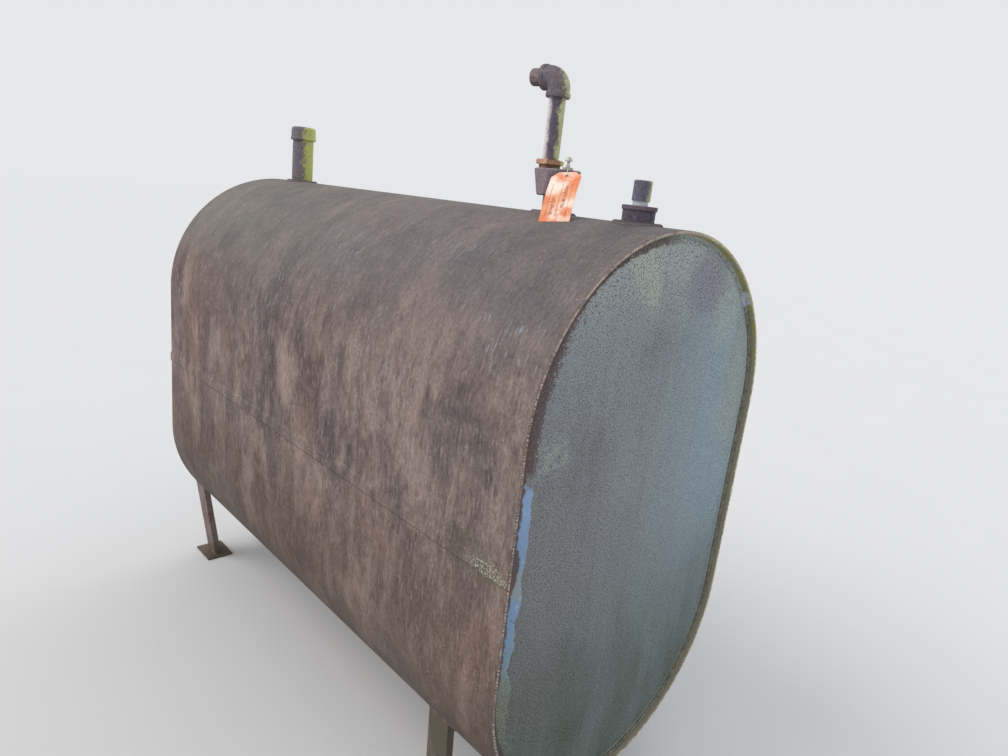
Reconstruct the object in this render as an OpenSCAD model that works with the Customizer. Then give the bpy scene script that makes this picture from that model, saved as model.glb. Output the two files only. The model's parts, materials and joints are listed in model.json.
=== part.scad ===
// Upright oval fuel-oil storage tank on four short welded legs.
// Millimetres, +Z up, origin on the floor under the middle of the tank.
// +X runs along the tank to its front head, -Y is its near side.

/* [Tank] */
// Length over the weld beads of both ends
tank_length = 1524; // [1300:2:1800]
// Width over the flat sides
tank_width = 686; // [600:2:760]
// Height of the shell
tank_height = 1118; // [960:2:1240]
// Thickness of the shell and head plates
plate_t = 2.7; // [2:0.1:4]
// Height of the shell's lowest line above the floor
ground_gap = 110; // [95:1:200]

/* [Side seams] */
// Height of the strip where the upper sheet laps the lower one
lap_w = 20; // [12:1:40]
// Height over which the upper sheet steps outwards
joggle_h = 8; // [4:1:20]
// Clearance between the two sheets in the lap
lap_gap = 0.2; // [0.1:0.1:0.6]

/* [Heads] */
// Depth of the groove inside the rim
head_recess = 14; // [12:1:30]
// Inside radius of the bend from flange to groove
knuckle_r = 6; // [4:0.5:9]
// Width of the flat floor of the groove
groove_w = 3; // [2:0.5:12]
// Width of the slope that rises out of the groove
slope_w = 28; // [12:1:40]
// Height of the middle panel over the groove
panel_rise = 4; // [2:0.5:8]
// Clearance between head flange and shell
head_gap = 0.3; // [0.1:0.1:0.8]
// Radius of the weld bead along each rim
rim_bead_r = 2.4; // [1.5:0.1:4]

/* [Legs] */
// Distance from the front end of the tank to the middle of the front legs
front_leg_end = 202; // [60:1:340]
// Distance from the rear end of the tank to the middle of the rear legs
rear_leg_end = 62; // [55:1:340]
// Distance from the flat sides of the tank to the legs' outer faces, at the shell
leg_inset = 62; // [45:1:100]
// Width of a leg's outer face
leg_w = 60; // [40:1:90]
// Depth of a leg's two flanges
leg_flange = 18; // [12:1:40]
// Thickness of the leg plate
leg_t = 4; // [3:0.5:8]
// Inward lean of the front legs in degrees
front_lean = 2; // [0:0.5:12]
// Inward lean of the rear legs in degrees, bent by handling
rear_lean = 9; // [0:0.5:12]
// Length of a foot plate along the tank
foot_l = 100; // [90:5:160]
// Width of a foot plate across the tank
foot_w = 80; // [60:5:120]
// Thickness of a foot plate
foot_t = 6; // [4:1:12]

/* [Tappings] */
// Outside diameter of the welded ring round each tapping
spud_od = 86; // [76:1:110]
// Height of the ring over the crown of the shell
spud_h = 4; // [2:0.5:10]
// Clearance of a pipe in its tapping or fitting
thread_gap = 0.2; // [0.1:0.05:0.5]
// How much less the radius of a pipe is along a threaded end
thread_cut = 0.9; // [0.5:0.1:1.2]
// How far a pipe reaches below the crown
pipe_dip = 12; // [6:1:30]

/* [Fill pipe] */
// Distance from the rear end of the tank to the fill pipe
fill_end = 135; // [85:1:400]
// Outside diameter of the fill pipe
fill_od = 60.3; // [48:0.1:68]
// Wall of the fill pipe
fill_wall = 3.9; // [2.5:0.1:6]
// Height of the cap's lower edge over the crown
fill_h = 120; // [80:1:300]
// Outside diameter of the fill cap
cap_od = 73; // [71:0.5:84]
// Height of the fill cap
cap_h = 38; // [30:1:50]
// How far the pipe reaches into the cap
cap_grip = 22; // [12:1:26]
// Rounding of the cap's upper edge
cap_round = 5; // [2:0.5:8]

/* [Vent fitting] */
// Distance from the front end of the tank to the vent tapping
vent_end = 325; // [265:1:600]
// Outside diameter of the neck between tank and casting
neck_od = 48.3; // [42:0.1:50]
// Wall of the neck
neck_wall = 3.7; // [2.5:0.1:6]
// Height of the casting's underside over the crown
casting_z = 33; // [24:1:60]
// Height of the casting
casting_h = 52; // [46:1:70]
// Distance between the casting's two ports
port_pitch = 50; // [46:1:60]
// Top radius of the casting round the vent port
vent_boss_r = 30; // [28:0.5:36]
// Top radius of the casting round the small port
small_boss_r = 27; // [20:0.5:34]
// Radius of the casting round the neck
neck_boss_r = 31; // [29:0.5:38]
// How much narrower the casting's two ends are at its underside
casting_taper = 10; // [4:0.5:12]
// Depth of the thread in each port
port_depth = 15; // [10:1:16]

/* [Vent pipe] */
// Outside diameter of the bushing's thread
bushing_od = 42.2; // [40:0.1:44]
// Length of bushing thread that shows
bushing_neck = 8; // [3:0.5:14]
// Width across the flats of the bushing
bushing_af = 50; // [46:0.5:56]
// Height of the bushing's hexagon
bushing_hex_h = 9; // [6:0.5:14]
// Outside diameter of the vent pipe
vent_od = 33.4; // [30:0.1:36]
// Wall of the vent pipe
vent_wall = 3.4; // [2:0.1:5]
// Length of vent pipe between bushing and elbow
vent_h = 117; // [60:1:300]
// Centre of the elbow to each of its faces
elbow_reach = 38.1; // [36:0.1:50]
// Radius of the elbow's bend
elbow_bend_r = 24; // [22:0.5:28]
// Outside diameter of the elbow's body
elbow_od = 43; // [40:0.5:46]
// Outside diameter of the bands at the elbow's ends
elbow_band_od = 49; // [47:0.5:56]
// Length of each band
elbow_band_l = 9; // [6:0.5:12]
// How far a pipe reaches into the elbow
elbow_grip = 12; // [8:0.5:14]
// Direction of the outlet, turned from -X towards -Y
elbow_turn = 12; // [-40:1:60]
// Length of outlet nipple that shows
nipple_l = 24; // [15:1:80]

/* [Port screw] */
// Outside diameter of the screw's thread
screw_od = 16; // [12:0.5:20]
// Width across the flats of the screw's hexagon
screw_af = 19; // [16:0.5:24]
// Height of the screw's hexagon
screw_hex_h = 5; // [3:0.5:9]
// Diameter of the stem
stem_d = 5.6; // [4:0.2:9]
// Length of stem that shows
stem_h = 12; // [8:0.5:20]
// Diameter of the domed head
dome_d = 15; // [12:0.5:20]
// Height of the domed head
dome_h = 8; // [5:0.5:10]

/* [Gauge] */
// Distance from the front end of the tank to the level gauge
gauge_end = 115; // [85:1:160]
// Outside diameter of the gauge body's thread
gauge_od = 60.3; // [54:0.1:62]
// Height of the body's thread over the crown
gauge_thread_h = 24; // [14:1:40]
// Outside diameter of the body's top flange
gauge_flange_od = 64; // [63:0.5:72]
// Height of the body's top flange
gauge_flange_h = 8; // [5:0.5:14]
// Outside diameter of the sight glass
vial_od = 28; // [24:0.5:29]
// Wall of the sight glass
vial_wall = 2; // [1.5:0.1:3]
// Height of sight glass that shows under the cap
vial_show = 8; // [4:0.5:20]
// Outside diameter of the gauge cap
gauge_cap_od = 33; // [32:0.5:40]
// Height of the gauge cap
gauge_cap_h = 36; // [24:1:50]
// Thickness of the gauge cap's top
gauge_cap_top = 4; // [2:0.5:6]

/* [Drain] */
// Distance from the rear end of the tank to the drain
drain_end = 142; // [105:1:400]
// Outside diameter of the drain plug's thread
drain_od = 60.3; // [48:0.1:68]
// Width across the flats of the plug's square head
drain_af = 29; // [20:0.5:34]
// Height of the plug's square head
drain_head_h = 16; // [10:1:24]

/* [Tag] */
// Width of the tied paper tag
tag_w = 60.3; // [50:0.1:68]
// Height of the tag
tag_h = 120.6; // [100:0.1:124]
// Thickness of the tag
tag_t = 0.6; // [0.4:0.1:1.2]
// Size of the two clipped corners
tag_clip = 13; // [6:1:18]
// Diameter of the tag's hole
tag_hole_d = 6; // [4:0.5:8]
// Distance from the hole to the tag's upper edge
tag_hole_edge = 10; // [8:0.5:14]
// Place along the tank of the tag's lower left corner, from the vent tapping
tag_dx = 64; // [60:1:80]
// Place across the tank of the tag's lower left corner
tag_y = -105; // [-120:1:-100]
// Turn of the tag's lower edge from the tank's length
tag_yaw = 23.6; // [15:0.1:30]
// Lean of the tag from lying flat
tag_tilt = 51; // [45:0.5:56]
// Diameter of the tie wire
wire_d = 1.4; // [1:0.1:2]

/* [Hidden] */
$fn = 96;
shell_fn = 360;

// Colours as the weathered object shows them
rust_paint = [0.42, 0.33, 0.29];
head_paint = [0.50, 0.49, 0.42];
weld_rust = [0.36, 0.26, 0.21];
pipe_rust = [0.38, 0.31, 0.32];
cast_rust = [0.33, 0.24, 0.24];
pale_metal = [0.72, 0.72, 0.66];
tag_orange = [0.91, 0.38, 0.18];
clear_glass = [0.75, 0.80, 0.82];

// Shell: two half rounds joined by flat sides
shell_r = tank_width / 2;
straight = tank_height / 2 - shell_r;
mid_z = ground_gap + tank_height / 2;
top_z = ground_gap + tank_height;
shell_l = tank_length - 2 * rim_bead_r;
plate_end = shell_l / 2;
lap_out = shell_r + lap_gap + plate_t;

// Places along and across the tank
leg_y = shell_r - leg_inset;
front_leg_x = tank_length / 2 - front_leg_end;
rear_leg_x = rear_leg_end - tank_length / 2;
fill_x = fill_end - tank_length / 2;
vent_x = tank_length / 2 - vent_end;
gauge_x = tank_length / 2 - gauge_end;
drain_x = drain_end - tank_length / 2;

// Head: middle line of the plate
flange_r = shell_r - plate_t - head_gap - plate_t / 2;
bend_r = knuckle_r + plate_t / 2;
slope_start = flange_r - bend_r - groove_w;
slope_end = slope_start - slope_w;
panel_x = head_recess - panel_rise;

// Vent: the two ports lie on each side of the neck
vent_port_x = vent_x - port_pitch / 2;
small_port_x = vent_x + port_pitch / 2;
casting_top = casting_z + casting_h;
bushing_top = casting_top + bushing_neck + bushing_hex_h;
elbow_z = bushing_top + vent_h + elbow_reach;

// Tag: its lower edge rests on the round of the shell
tag_seat = 0.3;
tag_x = vent_x + tag_dx;
tag_far_y = tag_y + tag_w * sin(tag_yaw);
tag_z = crown_at(tag_y) + tag_seat;
tag_roll = -asin((crown_at(tag_far_y) + tag_seat - tag_z) / tag_w);

// Diameters of a pipe's threaded end and of the hole that takes it
function threaded(od) = od - 2 * thread_cut;
function socket(od) = threaded(od) + 2 * thread_gap;

// Height of the shell's outer face over the floor at a place across the tank
function crown_at(y) = mid_z + straight + sqrt(pow(shell_r, 2) - pow(y, 2));

// A point of the tag, from its lower left corner, u across, v up, w to the front
function tag_point(u, v, w) =
    let (
        y1 = v * cos(tag_tilt) - w * sin(tag_tilt),
        z1 = v * sin(tag_tilt) + w * cos(tag_tilt),
        x2 = u * cos(tag_roll) + z1 * sin(tag_roll),
        z2 = z1 * cos(tag_roll) - u * sin(tag_roll)
    )
    [
        tag_x + x2 * cos(tag_yaw) - y1 * sin(tag_yaw),
        tag_y + x2 * sin(tag_yaw) + y1 * cos(tag_yaw),
        tag_z + z2
    ];

// Outline with round top and bottom, u across the tank and v up
module oval(r) {
    translate([0, straight]) circle(r, $fn = shell_fn);
    translate([0, -straight]) circle(r, $fn = shell_fn);
    square([2 * r, 2 * straight], center = true);
}

// An outline across the tank, drawn along its length
module along_tank(len) {
    translate([-len / 2, 0, mid_z])
        rotate([90, 0, 90])
            linear_extrude(len)
                children();
}

// A profile led round the oval: u is the distance from the round's axis, v points to the front
module round_the_oval() {
    for (half_turn = [0, 180])
        translate([0, 0, mid_z])
            rotate([half_turn, 0, 0]) {
                translate([0, 0, straight])
                    rotate([90, 0, 90])
                        rotate_extrude(angle = 180) children();
                translate([0, 0, -straight])
                    rotate([0, 0, 90])
                        mirror([0, 1, 0])
                            linear_extrude(2 * straight) children();
            }
}

// One plate of the head's profile, from point a to point b
module plate_run(a, b) {
    d = b - a;
    translate(a)
        rotate(atan2(d[1], d[0]))
            translate([0, -plate_t / 2])
                square([norm(d), plate_t]);
}

// Half profile of a head: flange, bend, groove, slope and flat panel
module head_profile() {
    slope_foot = [slope_start, -head_recess];
    slope_head = [slope_end, -panel_x];
    plate_run([flange_r, -(head_recess - bend_r)], [flange_r, 0]);
    translate([flange_r - bend_r, bend_r - head_recess])
        intersection() {
            difference() {
                circle(bend_r + plate_t / 2);
                circle(bend_r - plate_t / 2);
            }
            translate([0, -2 * bend_r])
                square([2 * bend_r, 2 * bend_r]);
        }
    plate_run(slope_foot, [flange_r - bend_r, -head_recess]);
    translate(slope_foot) circle(d = plate_t);
    plate_run(slope_head, slope_foot);
    translate(slope_head) circle(d = plate_t);
    plate_run([0, -panel_x], slope_head);
}

module head(end) {
    color(head_paint)
        mirror([end < 0 ? 1 : 0, 0, 0])
            translate([plate_end, 0, 0])
                round_the_oval()
                    head_profile();
}

// Half-round bead that closes the edges of shell and head flange
module rim_weld(end) {
    bead_at = shell_r - plate_t - head_gap / 2;
    color(weld_rust)
        mirror([end < 0 ? 1 : 0, 0, 0])
            translate([plate_end, 0, 0])
                round_the_oval()
                    intersection() {
                        translate([bead_at, 0]) circle(rim_bead_r);
                        translate([bead_at - 2 * rim_bead_r, 0])
                            square([4 * rim_bead_r, 2 * rim_bead_r]);
                    }
}

// Solid outline of the upper sheet: it steps out to step_r where it laps the lower sheet
module lapped_outline(r, step_r, drop) {
    step_top = lap_w / 2 + joggle_h;
    translate([0, straight])
        intersection() {
            circle(r, $fn = shell_fn);
            translate([-r, 0]) square([2 * r, r]);
        }
    polygon([
        [step_r, -lap_w / 2 - drop], [step_r, lap_w / 2],
        [r, step_top], [r, straight],
        [-r, straight], [-r, step_top],
        [-step_r, lap_w / 2], [-step_r, -lap_w / 2 - drop]
    ]);
}

module tapping_holes() {
    for (tapping = [[fill_x, fill_od], [vent_x, neck_od], [gauge_x, gauge_od]])
        translate([tapping[0], 0, top_z - shell_r / 2])
            cylinder(d = socket(tapping[1]), h = shell_r);
}

module shell_upper() {
    color(rust_paint)
        difference() {
            along_tank(shell_l)
                difference() {
                    lapped_outline(shell_r, lap_out, 0);
                    lapped_outline(shell_r - plate_t, shell_r + lap_gap, 1);
                }
            tapping_holes();
        }
}

module shell_lower() {
    sheet_top = lap_w / 2 - 1;
    color(rust_paint)
        difference() {
            along_tank(shell_l)
                intersection() {
                    difference() {
                        oval(shell_r);
                        oval(shell_r - plate_t);
                    }
                    translate([-shell_r, sheet_top - tank_height])
                        square([2 * shell_r, tank_height]);
                }
            translate([drain_x, 0, 0])
                cylinder(d = socket(drain_od), h = mid_z);
        }
}

// Fillet weld under the lap
module seam_weld(side) {
    leg = lap_gap + plate_t;
    color(weld_rust)
        mirror([0, side < 0 ? 1 : 0, 0])
            along_tank(shell_l)
                translate([shell_r, -lap_w / 2])
                    intersection() {
                        circle(leg);
                        translate([0, -leg]) square(leg);
                    }
}

// Pressed channel leg, open to the inside and cut to the round of the shell
module leg(x, side, lean) {
    joint_z = mid_z - straight - sqrt(pow(shell_r, 2) - pow(leg_y, 2));
    color(rust_paint)
        mirror([0, side > 0 ? 1 : 0, 0])
            difference() {
                intersection() {
                    translate([x, -leg_y, joint_z])
                        rotate([lean, 0, 0])
                            translate([0, 0, -2 * joint_z])
                                linear_extrude(2 * joint_z)
                                    channel();
                    translate([x - leg_w, -shell_r, foot_t])
                        cube([2 * leg_w, shell_r, mid_z]);
                }
                along_tank(shell_l) oval(shell_r);
            }
}

module channel() {
    difference() {
        translate([-leg_w / 2, 0]) square([leg_w, leg_flange]);
        translate([-leg_w / 2 + leg_t, leg_t])
            square([leg_w - 2 * leg_t, leg_flange]);
    }
}

module foot(x, side, lean) {
    joint_z = mid_z - straight - sqrt(pow(shell_r, 2) - pow(leg_y, 2));
    foot_y = leg_y - leg_flange / 2 - (joint_z - foot_t) * tan(lean);
    color(rust_paint)
        translate([x - foot_l / 2, side * foot_y - foot_w / 2, 0])
            cube([foot_l, foot_w, foot_t]);
}

// Welded ring of a tapping, cut to the round of the shell
module spud(x, pipe_od) {
    sink = shell_r - sqrt(pow(shell_r, 2) - pow(spud_od / 2, 2));
    color(weld_rust)
        difference() {
            translate([x, 0, top_z - sink])
                cylinder(d = spud_od, h = sink + spud_h);
            translate([x, 0, top_z - 2 * sink])
                cylinder(d = socket(pipe_od), h = 4 * sink + spud_h);
            along_tank(shell_l) oval(shell_r);
        }
}

// Straight round tube standing on z, open at both ends
module tube(od, wall, h) {
    difference() {
        cylinder(d = od, h = h);
        translate([0, 0, -1]) cylinder(d = od - 2 * wall, h = h + 2);
    }
}

// Pipe of length h with a threaded end of length low at its foot, and of length high at its top
module pipe(od, wall, h, low, high) {
    cut_r = threaded(od) / 2;
    bore_r = od / 2 - wall;
    shank_end = h - high;
    rotate_extrude()
        polygon(concat(
            [[bore_r, 0], [cut_r, 0], [cut_r, low], [od / 2, low], [od / 2, shank_end]],
            high > 0 ? [[cut_r, shank_end], [cut_r, h]] : [],
            [[bore_r, h]]
        ));
}

module fill_pipe() {
    color(pipe_rust)
        translate([fill_x, 0, top_z - pipe_dip])
            pipe(fill_od, fill_wall, pipe_dip + fill_h + cap_grip, pipe_dip + spud_h, cap_grip);
}

module fill_cap() {
    bore_r = socket(fill_od) / 2;
    cap_r = cap_od / 2;
    shoulder_r = cap_r - 1;
    color(pipe_rust)
        translate([fill_x, 0, top_z + fill_h])
            rotate_extrude() {
                polygon([
                    [bore_r, 0], [cap_r, 0], [cap_r, cap_h / 4],
                    [shoulder_r, cap_h - cap_round], [shoulder_r - cap_round, cap_h],
                    [0, cap_h], [0, cap_grip + thread_gap],
                    [bore_r, cap_grip + thread_gap]
                ]);
                translate([shoulder_r - cap_round, cap_h - cap_round])
                    intersection() {
                        circle(cap_round);
                        square(cap_round);
                    }
            }
}

module vent_neck() {
    color(pipe_rust)
        translate([vent_x, 0, top_z - pipe_dip])
            pipe(neck_od, neck_wall, pipe_dip + casting_z + port_depth, pipe_dip + spud_h, port_depth);
}

// Cast fitting with one threaded neck below and two ports above
module vent_casting() {
    color(cast_rust)
        difference() {
            hull() {
                translate([vent_port_x, 0, top_z + casting_z])
                    cylinder(r1 = vent_boss_r - casting_taper, r2 = vent_boss_r, h = casting_h, $fn = 32);
                translate([small_port_x, 0, top_z + casting_z])
                    cylinder(r1 = small_boss_r - casting_taper, r2 = small_boss_r, h = casting_h, $fn = 32);
                translate([vent_x, 0, top_z + casting_z])
                    cylinder(r = neck_boss_r, h = casting_h, $fn = 32);
            }
            translate([vent_x, 0, top_z + casting_z - 1])
                cylinder(d = socket(neck_od), h = port_depth + 1 + thread_gap);
            translate([vent_port_x, 0, top_z + casting_top - port_depth - thread_gap])
                cylinder(d = socket(bushing_od), h = port_depth + 1);
            translate([small_port_x, 0, top_z + casting_top - port_depth - thread_gap])
                cylinder(d = screw_od + 2 * thread_gap, h = port_depth + 1);
            translate([vent_x - port_pitch / 4, 0, top_z + casting_z + port_depth - 1])
                cylinder(r = port_pitch / 4, h = casting_h - 2 * port_depth + 2);
        }
}

// Hexagon with its corners turned off
module nut_block(af, h) {
    corner_r = af / sqrt(3);
    turned = 0.94 * corner_r;
    intersection() {
        cylinder(r = corner_r, h = h, $fn = 6);
        rotate_extrude()
            polygon([
                [0, 0], [turned, 0], [corner_r, h / 4], [corner_r, 3 * h / 4],
                [turned, h], [0, h]
            ]);
    }
}

module vent_bushing() {
    color(cast_rust)
        translate([vent_port_x, 0, top_z + casting_top])
            difference() {
                union() {
                    translate([0, 0, -port_depth])
                        cylinder(d = threaded(bushing_od), h = port_depth + bushing_neck);
                    cylinder(d = bushing_od, h = bushing_neck + 1);
                    translate([0, 0, bushing_neck])
                        nut_block(bushing_af, bushing_hex_h);
                }
                translate([0, 0, -port_depth - 1])
                    cylinder(d = socket(vent_od), h = port_depth + bushing_neck + bushing_hex_h + 2);
            }
}

module vent_pipe() {
    grip = bushing_neck + bushing_hex_h;
    color(pipe_rust)
        translate([vent_port_x, 0, top_z + casting_top])
            pipe(vent_od, vent_wall, grip + vent_h + elbow_grip, grip, elbow_grip);
}

// One arm of the elbow, from the end of the bend to its face
module elbow_arm(d) {
    translate([0, 0, elbow_bend_r])
        cylinder(d = d, h = elbow_reach - elbow_bend_r);
}

// The elbow's centre line turns from -Z to -X about a centre beside it
module elbow_turned(d) {
    translate([-elbow_bend_r, 0, -elbow_bend_r])
        rotate([90, 0, 0])
            rotate_extrude(angle = 90)
                translate([elbow_bend_r, 0]) circle(d = d);
    rotate([180, 0, 0]) elbow_arm(d);
    rotate([0, -90, 0]) elbow_arm(d);
}

module elbow_band(d, l) {
    translate([0, 0, elbow_reach - l]) cylinder(d = d, h = l);
}

module vent_elbow() {
    color(pipe_rust)
        translate([vent_port_x, 0, top_z + elbow_z])
            rotate([0, 0, elbow_turn])
                difference() {
                    union() {
                        elbow_turned(elbow_od);
                        rotate([180, 0, 0]) elbow_band(elbow_band_od, elbow_band_l);
                        rotate([0, -90, 0]) elbow_band(elbow_band_od, elbow_band_l);
                    }
                    elbow_turned(vent_od - 2 * vent_wall);
                    rotate([180, 0, 0]) elbow_band(socket(vent_od), elbow_grip + thread_gap);
                    rotate([0, -90, 0]) elbow_band(socket(vent_od), elbow_grip + thread_gap);
                }
}

module vent_nipple() {
    color(pipe_rust)
        translate([vent_port_x, 0, top_z + elbow_z])
            rotate([0, 0, elbow_turn])
                rotate([0, -90, 0])
                    translate([0, 0, elbow_reach - elbow_grip])
                        pipe(vent_od, vent_wall, elbow_grip + nipple_l, elbow_grip, 0);
}

// Small hexagon screw with a stem and a domed head in the second port
module port_screw() {
    dome_r = (pow(dome_d / 2, 2) + pow(dome_h, 2)) / (2 * dome_h);
    color(pale_metal)
        translate([small_port_x, 0, top_z + casting_top]) {
            translate([0, 0, -port_depth])
                cylinder(d = screw_od, h = port_depth);
            nut_block(screw_af, screw_hex_h);
            translate([0, 0, screw_hex_h])
                cylinder(d = stem_d, h = stem_h);
            translate([0, 0, screw_hex_h + stem_h])
                intersection() {
                    translate([0, 0, dome_h - dome_r]) sphere(dome_r);
                    cylinder(d = dome_d, h = dome_h);
                }
        }
}

module gauge_body() {
    color(cast_rust)
        translate([gauge_x, 0, top_z - pipe_dip])
            difference() {
                union() {
                    cylinder(d = threaded(gauge_od), h = pipe_dip + gauge_thread_h);
                    translate([0, 0, pipe_dip + spud_h])
                        cylinder(d = gauge_od, h = gauge_thread_h - spud_h);
                    translate([0, 0, pipe_dip + gauge_thread_h])
                        cylinder(d = gauge_flange_od, h = gauge_flange_h);
                }
                translate([0, 0, -1])
                    cylinder(d = vial_od - 2 * vial_wall, h = pipe_dip + gauge_thread_h + gauge_flange_h + 2);
            }
}

module gauge_glass() {
    color(clear_glass)
        translate([gauge_x, 0, top_z + gauge_thread_h + gauge_flange_h])
            tube(vial_od, vial_wall, vial_show + gauge_cap_h - gauge_cap_top);
}

module gauge_cap() {
    cap_r = gauge_cap_od / 2;
    bore_r = vial_od / 2 + thread_gap;
    edge = gauge_cap_top / 2;
    color(cast_rust)
        translate([gauge_x, 0, top_z + gauge_thread_h + gauge_flange_h + vial_show])
            rotate_extrude()
                polygon([
                    [bore_r, 0], [cap_r, 0], [cap_r, gauge_cap_h - edge],
                    [cap_r - edge, gauge_cap_h], [0, gauge_cap_h],
                    [0, gauge_cap_h - gauge_cap_top], [bore_r, gauge_cap_h - gauge_cap_top]
                ]);
}

module drain_spud() {
    translate([0, 0, 2 * mid_z])
        mirror([0, 0, 1])
            spud(drain_x, drain_od);
}

module drain_plug() {
    plug_z = ground_gap - spud_h;
    color(cast_rust)
        translate([drain_x, 0, plug_z]) {
            cylinder(d = threaded(drain_od), h = pipe_dip + spud_h);
            translate([0, 0, -drain_head_h])
                translate([-drain_af / 2, -drain_af / 2, 0])
                    cube([drain_af, drain_af, drain_head_h]);
        }
}

// Tied paper tag with two clipped corners and a hole
module lot_tag() {
    color(tag_orange)
        translate([tag_x, tag_y, tag_z])
            rotate([tag_tilt, tag_roll, tag_yaw])
                linear_extrude(tag_t)
                    difference() {
                        polygon([
                            [0, 0], [tag_w, 0], [tag_w, tag_h - tag_clip],
                            [tag_w - tag_clip, tag_h], [tag_clip, tag_h],
                            [0, tag_h - tag_clip]
                        ]);
                        translate([tag_w / 2, tag_h - tag_hole_edge])
                            circle(d = tag_hole_d);
                    }
}

// Round wire between two points, with round ends
module wire_run(a, b) {
    hull() {
        translate(a) sphere(d = wire_d, $fn = 12);
        translate(b) sphere(d = wire_d, $fn = 12);
    }
}

// Tie wire: a ring round the screw's stem, over the casting's edge, through the tag and back
module tag_wire() {
    ring_r = stem_d / 2 + wire_d / 2 + thread_gap;
    ring_z = top_z + casting_top + screw_hex_h + wire_d / 2 + thread_gap;
    slack = wire_d + 1;
    hole_v = tag_h - tag_hole_edge;
    tag_edge = tag_point(tag_w / 2, tag_h + slack, slack + tag_t);
    bearing = atan2(tag_edge[1], tag_edge[0] - small_port_x);
    edge_r = small_boss_r + slack;
    knot = [small_port_x + ring_r * cos(bearing), ring_r * sin(bearing), ring_z];
    over_edge = [small_port_x + edge_r * cos(bearing), edge_r * sin(bearing), ring_z];
    route = [
        knot, over_edge, tag_edge,
        tag_point(tag_w / 2, hole_v, slack + tag_t),
        tag_point(tag_w / 2, hole_v, -slack),
        over_edge
    ];
    color(pale_metal) {
        translate([small_port_x, 0, ring_z])
            rotate_extrude($fn = 24)
                translate([ring_r, 0]) circle(d = wire_d, $fn = 12);
        for (i = [0 : len(route) - 2])
            wire_run(route[i], route[i + 1]);
    }
}

shell_upper();
shell_lower();
seam_weld(-1);  // seam_weld_near
seam_weld(1);  // seam_weld_far
head(1);  // head_front
head(-1);  // head_rear
rim_weld(1);  // rim_weld_front
rim_weld(-1);  // rim_weld_rear
leg(front_leg_x, -1, front_lean);  // leg_front_near
leg(front_leg_x, 1, front_lean);  // leg_front_far
leg(rear_leg_x, -1, rear_lean);  // leg_rear_near
leg(rear_leg_x, 1, rear_lean);  // leg_rear_far
foot(front_leg_x, -1, front_lean);  // foot_front_near
foot(front_leg_x, 1, front_lean);  // foot_front_far
foot(rear_leg_x, -1, rear_lean);  // foot_rear_near
foot(rear_leg_x, 1, rear_lean);  // foot_rear_far
spud(fill_x, fill_od);  // fill_spud
fill_pipe();
fill_cap();
spud(vent_x, neck_od);  // vent_spud
vent_neck();
vent_casting();
vent_bushing();
vent_pipe();
vent_elbow();
vent_nipple();
port_screw();
spud(gauge_x, gauge_od);  // gauge_spud
gauge_body();
gauge_glass();
gauge_cap();
drain_spud();
drain_plug();
lot_tag();
tag_wire();
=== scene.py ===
"""Finishes, weld beads, threads, tag and tie wire of an upright oval heating-oil tank."""
import json
import math

import bmesh
import bpy
import numpy as np
from mathutils import Matrix, Vector


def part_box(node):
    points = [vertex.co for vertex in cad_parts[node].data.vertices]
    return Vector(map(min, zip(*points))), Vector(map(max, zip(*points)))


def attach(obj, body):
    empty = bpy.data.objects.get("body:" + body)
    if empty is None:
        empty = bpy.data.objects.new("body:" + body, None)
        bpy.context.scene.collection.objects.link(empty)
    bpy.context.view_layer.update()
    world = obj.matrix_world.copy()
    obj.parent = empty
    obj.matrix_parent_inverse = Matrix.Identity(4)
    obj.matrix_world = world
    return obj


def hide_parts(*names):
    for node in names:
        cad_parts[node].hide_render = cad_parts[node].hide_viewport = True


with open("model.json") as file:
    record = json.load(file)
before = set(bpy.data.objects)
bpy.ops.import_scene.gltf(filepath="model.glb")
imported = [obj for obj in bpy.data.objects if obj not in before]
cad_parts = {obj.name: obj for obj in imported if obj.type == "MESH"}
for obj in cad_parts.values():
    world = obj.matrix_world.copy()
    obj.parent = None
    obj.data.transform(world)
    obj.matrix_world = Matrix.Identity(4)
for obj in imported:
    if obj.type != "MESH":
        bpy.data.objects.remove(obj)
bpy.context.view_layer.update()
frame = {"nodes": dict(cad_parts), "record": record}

nodes = frame["nodes"]

# Main sizes of the tank, read from the frame
SHELL_LOW, SHELL_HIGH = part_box("shell_lower")
SHELL_R = SHELL_HIGH.y
PLATE_END = SHELL_HIGH.x
BOTTOM_Z = SHELL_LOW.z
TOP_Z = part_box("shell_upper")[1].z
MID_Z = (BOTTOM_Z + TOP_Z) / 2
STRAIGHT = (TOP_Z - BOTTOM_Z) / 2 - SHELL_R
CREST = STRAIGHT + SHELL_R * math.pi / 2

# Rings of the head, as distances from the axis of the tank's rounds
RUST_IN = 0.3005
STRIP_IN = 0.303
STRIP_OUT = 0.3185
SLOPE_FOOT = SHELL_R - 0.0147
FLANGE_IN = SHELL_R - 0.0057

# Weld ripples: how much their height varies, how far each falls and how far its middle lags
RIPPLE_PITCH = 0.0055
RIPPLE_STEPS = 6
RIPPLE_VARIES, RIPPLE_FALL, RIPPLE_LAG = 0.2, 0.32, 0.45
WELD_SIDES = 7

# Threads: 11.5 to the inch, as on pipes of this size
THREAD_PITCH = 0.0254 / 11.5
THREAD_STEP = THREAD_PITCH / 6
THREAD_DEPTH = 0.0011
TURNED_SIDES = 96

# The vent's 1 in pipe, and the threads of its bushing and of the gauge
NIPPLE_R, NIPPLE_BORE, NIPPLE_LENGTH, NIPPLE_IN = 0.0167, 0.0133, 0.036, 0.012
BUSHING_THREAD_R, BUSHING_THREAD_LENGTH = 0.0219, 0.0085
GAUGE_THREAD_R, GAUGE_FLANGE = 0.03015, 0.008


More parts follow.
